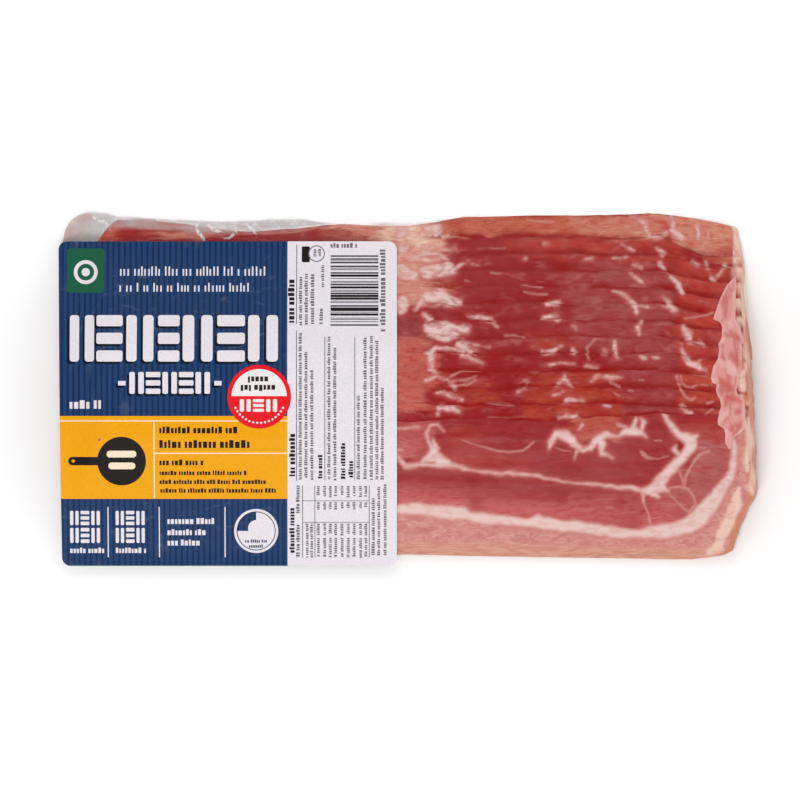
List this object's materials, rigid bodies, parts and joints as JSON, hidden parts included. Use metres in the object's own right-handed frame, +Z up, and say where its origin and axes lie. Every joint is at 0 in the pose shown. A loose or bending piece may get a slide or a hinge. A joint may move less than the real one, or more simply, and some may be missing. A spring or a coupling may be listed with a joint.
{
  "type": "vacuum pack of streaky bacon",
  "caption": "Clear vacuum pack of shingled streaky bacon rashers lying flat, with a printed paper label over its left half and a round price sticker on the label.",
  "frame": {"origin": "on the surface the pack lies on, under the middle of its box", "axes": "+X along the rashers towards the unlabelled end, +Y across them towards the first rasher laid down, +Z up out of the show side"},
  "size_m": [0.2505, 0.1264, 0.0201],
  "materials": {
    "bacon": "wet cured meat and fat under film",
    "clear_film": "clear glossy vacuum film",
    "label_paper": "semi-gloss printed paper",
    "sticker_paper": "semi-gloss printed paper"
  },
  "bodies": {
    "root": {"bacon_pack": "bacon", "label": "label_paper", "price_sticker": "sticker_paper"}
  },
  "joints": []
}
